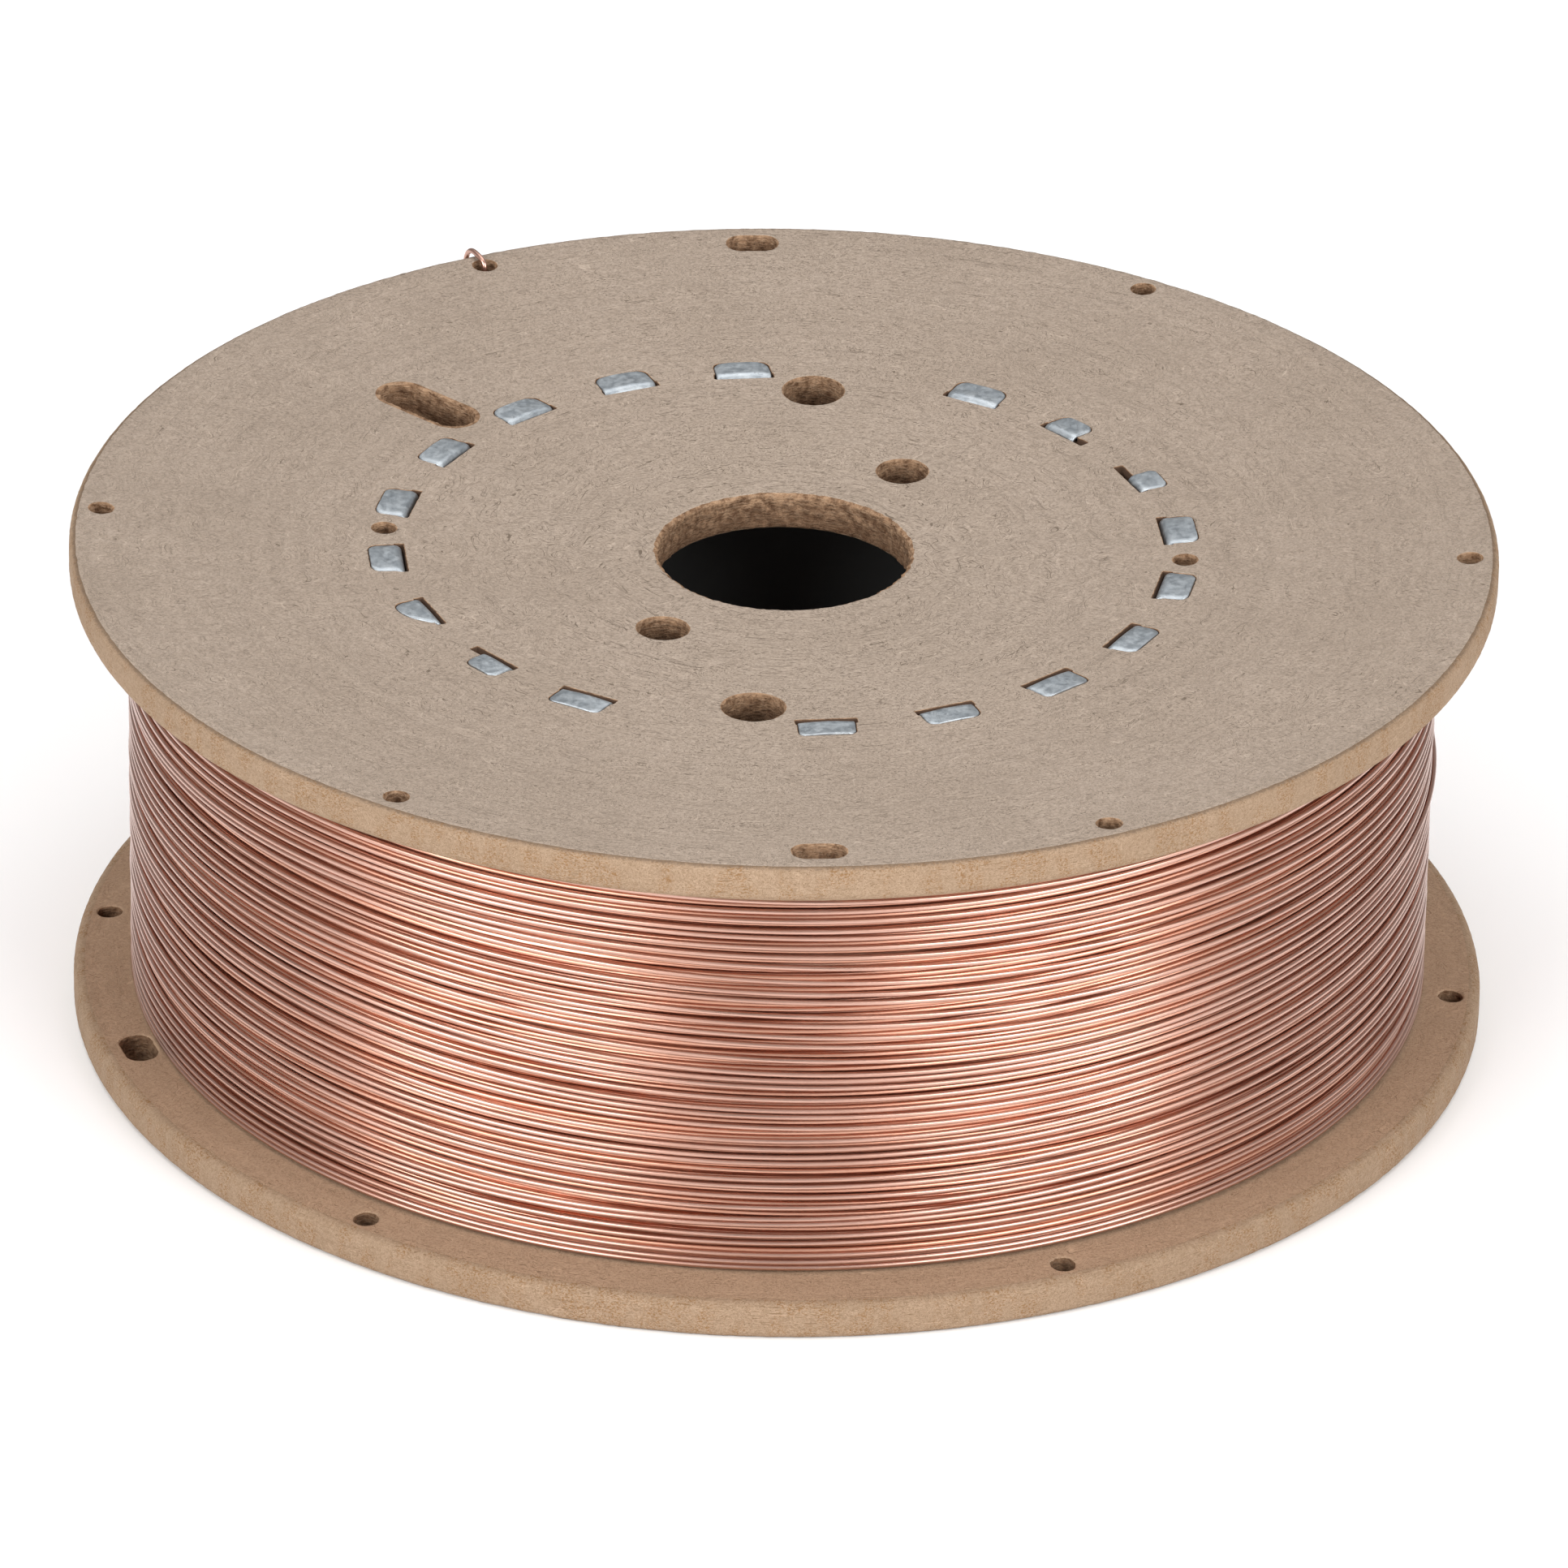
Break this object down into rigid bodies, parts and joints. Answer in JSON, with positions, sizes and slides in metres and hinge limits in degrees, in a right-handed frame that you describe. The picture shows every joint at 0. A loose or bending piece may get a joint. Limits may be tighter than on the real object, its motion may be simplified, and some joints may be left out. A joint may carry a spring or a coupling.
{
  "type": "wire spool",
  "caption": "Large wire spool with two round hardboard flanges on a hollow sheet-metal drum, fully wound with copper-coated steel wire.",
  "frame": {"origin": "on the spool's axis, level with the bottom flange's rim, on which the spool stands", "axes": "+Z along the spool's axis, from the bottom flange to the top one; +X to the right and +Y away as seen from the front"},
  "size_m": [0.3, 0.3, 0.1106],
  "materials": {
    "hardboard": "matt pressed fibreboard, pinkish brown, rough at the holes",
    "galvanised_sheet": "dull zinc, scratched",
    "coppered_wire": "bright thin copper coating over drawn steel wire"
  },
  "bodies": {
    "root": {"top_flange": "hardboard", "bottom_flange": "hardboard", "drum_half_a": "galvanised_sheet", "drum_half_b": "galvanised_sheet", "wire_winding": "coppered_wire", "wire_end": "coppered_wire"}
  },
  "joints": []
}
